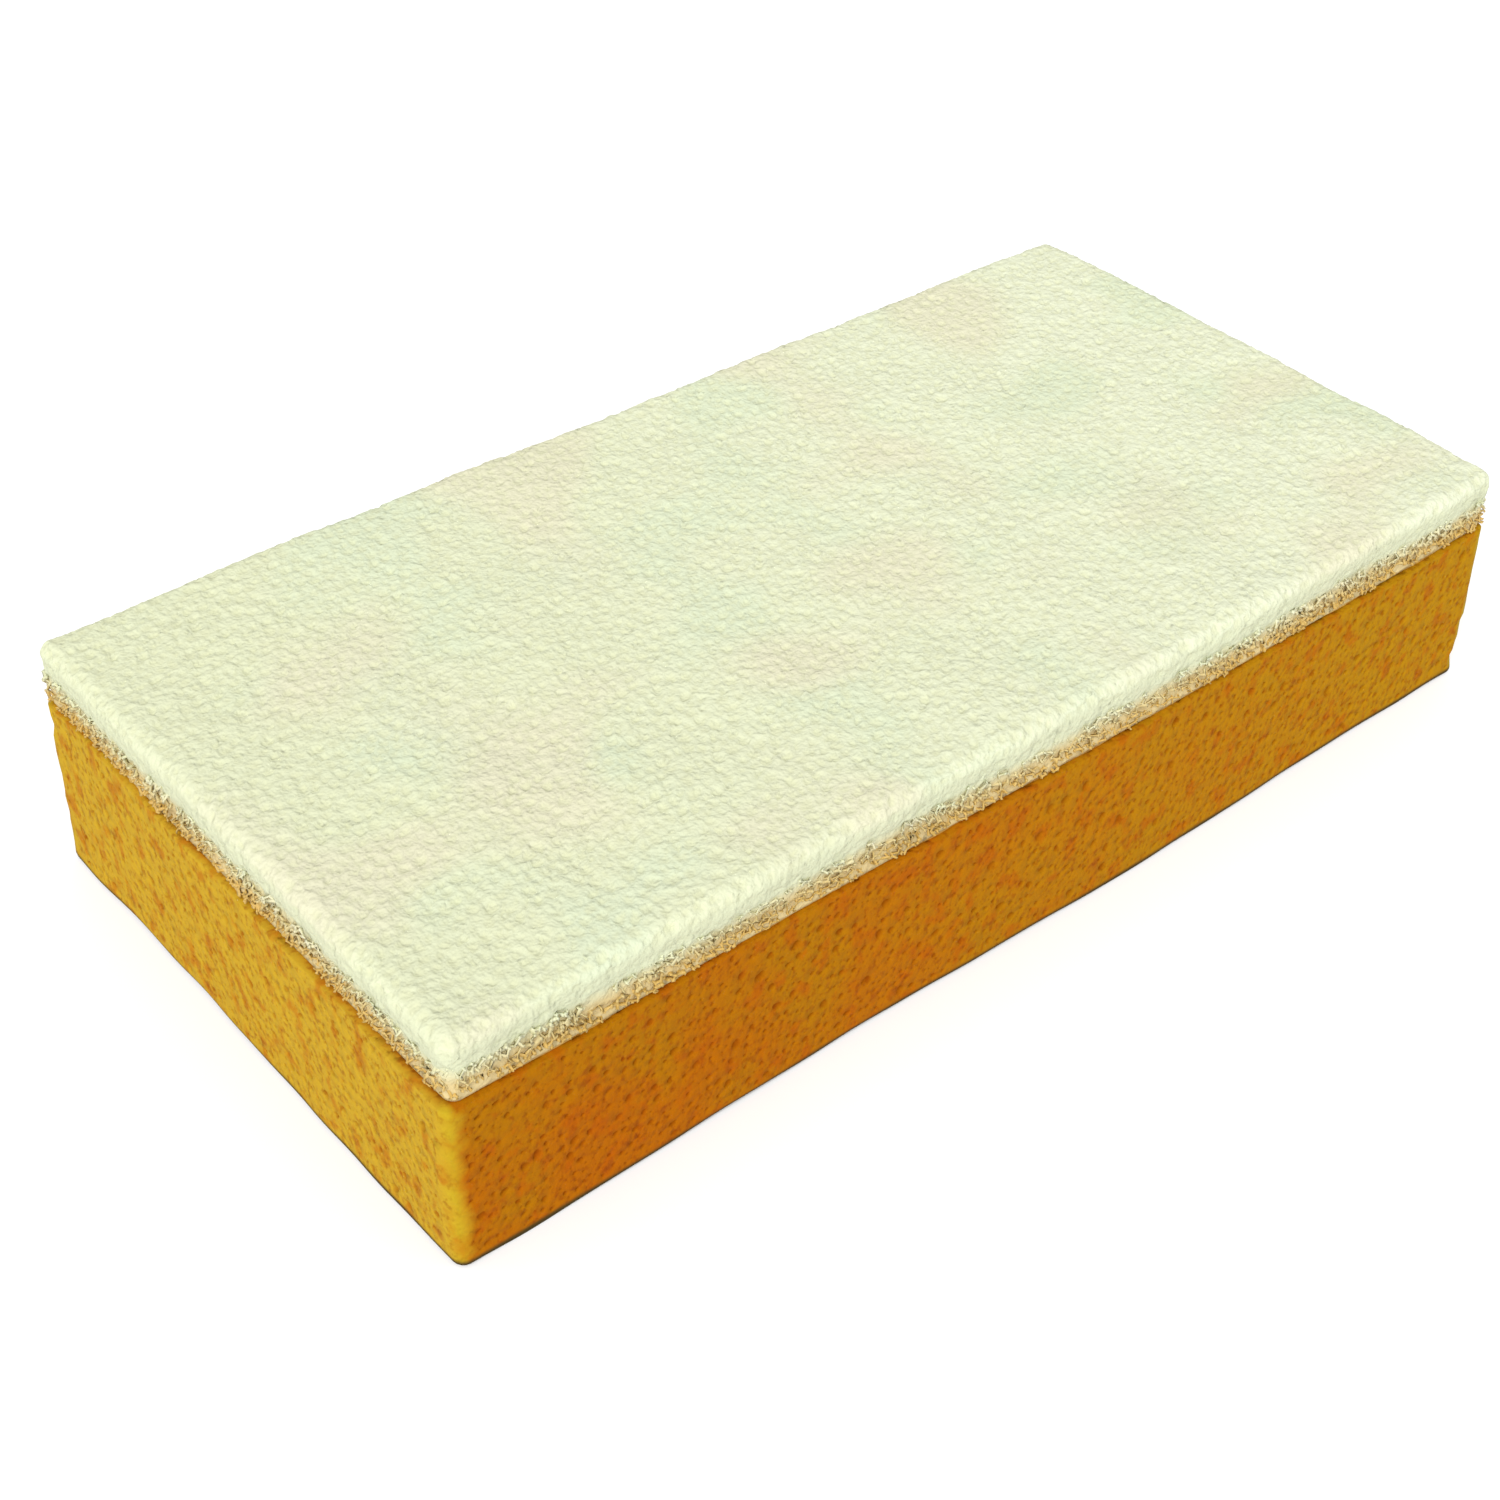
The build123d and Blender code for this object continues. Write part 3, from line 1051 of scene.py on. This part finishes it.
def felt_material():
    """The closed, fibrous inside of the pad, cream on top, with painted shade in its dimples and on
    its rounded shoulder, and painted amber shade near the foam.
    """
    felt = Nodes("white_felt", 0.8, 0.2)
    # painted shade in the felt's dimples
    colour = felt.mix(felt.field("pit"), mesh_patches(felt), MESH_HOLLOW_SHADE, 0.5)
    # painted shade on the pad's rounded shoulder, so it looks no brighter than the top
    colour = felt.mix(felt.height(53.6, 51.5), colour, MESH_RIM_SHADE, 0.8)
    colour = felt.mix(felt.height(49.0, 44.0), colour, MESH_SHADE)
    felt.colour(colour)
    felt.bump(felt.math("ADD", felt.noise(2.4, 1, 7.5), felt.noise(1.1, 1, 7.0)), 0.9, 0.5)
    return felt.material


def film_material():
    """Clear amber glue with paler, thinner places."""
    glue = Nodes("glue_web", 0.4, 0.5)
    glue.colour(glue.mix(glue.ramp(glue.noise(2.5, 2, 8.0), 0.4, 0.6), GLUE_AMBER, GLUE_PALE))
    return glue.material


# ------------ stage, light and camera
FLOOR_HALF_SIZE = 60.0  # metres, so that its edge is never seen
PAPER_SHADE, PAPER_WHITE = (0.98, 0.98, 0.98), (1.0, 1.0, 1.0)
SKY_STRENGTH = 0.65
KEY_FROM = (-0.85, -0.75, 1.15)
KEY_SOFTNESS = 35.0  # degrees across
KEY_STRENGTH = 2.6
CAMERA_PLACE = (-277.9, -296.9, 329.3)  # millimetres
CAMERA_AZIMUTH, CAMERA_ELEVATION, CAMERA_ROLL = -41.43, 38.91, 1.99  # degrees
CAMERA_LENS = 57.0


def make_stage():
    """A pale floor without a visible edge, under an even white sky."""
    size = FLOOR_HALF_SIZE
    mesh = bpy.data.meshes.new("floor")
    corners = [(-size, -size, 0), (size, -size, 0), (size, size, 0), (-size, size, 0)]
    mesh.from_pydata(corners, [], [(0, 1, 2, 3)])
    floor = add_object("floor", mesh)
    paper = Nodes("studio_floor", 0.9, 0.2)
    paper.colour(paper.mix(paper.noise(300, 1, 9.0), PAPER_SHADE, PAPER_WHITE))
    mesh.materials.append(paper.material)
    world = bpy.data.worlds.new("studio")
    world.use_nodes = True
    sky = world.node_tree.nodes["Background"]
    sky.inputs["Color"].default_value = (1, 1, 1, 1)
    sky.inputs["Strength"].default_value = SKY_STRENGTH
    bpy.context.scene.world = world
    bpy.context.scene.view_settings.view_transform = "Standard"


def make_light(name, source, softness, strength):
    """A broad lamp far away in the direction of source."""
    lamp = bpy.data.lights.new(name, "SUN")
    lamp.angle, lamp.energy = math.radians(softness), strength
    holder = add_object(name, lamp)
    holder.location = source
    holder.rotation_euler = Vector(source).to_track_quat("Z", "Y").to_euler()


def make_camera():
    """The camera, looking down over the near corner of the long front side."""
    azimuth, elevation = math.radians(CAMERA_AZIMUTH), math.radians(CAMERA_ELEVATION)
    back = Vector((math.sin(azimuth) * math.cos(elevation),
                   -math.cos(azimuth) * math.cos(elevation), math.sin(elevation)))
    data = bpy.data.cameras.new("camera")
    data.sensor_width = 36.0
    data.lens = CAMERA_LENS
    data.clip_start, data.clip_end = 0.01, 20
    camera = add_object("camera", data)
    camera.rotation_mode = "QUATERNION"
    look = (-back).to_track_quat("-Z", "Y")
    camera.rotation_quaternion = look @ Euler((0, 0, math.radians(CAMERA_ROLL))).to_quaternion()
    camera.location = Vector(CAMERA_PLACE) * MM
    bpy.context.scene.camera = camera


make_sponge(foam_material())
make_film(film_material())
make_pad(strut_material(), felt_material())
make_stage()
make_light("key", KEY_FROM, KEY_SOFTNESS, KEY_STRENGTH)
make_camera()

bpy.context.view_layer.update()
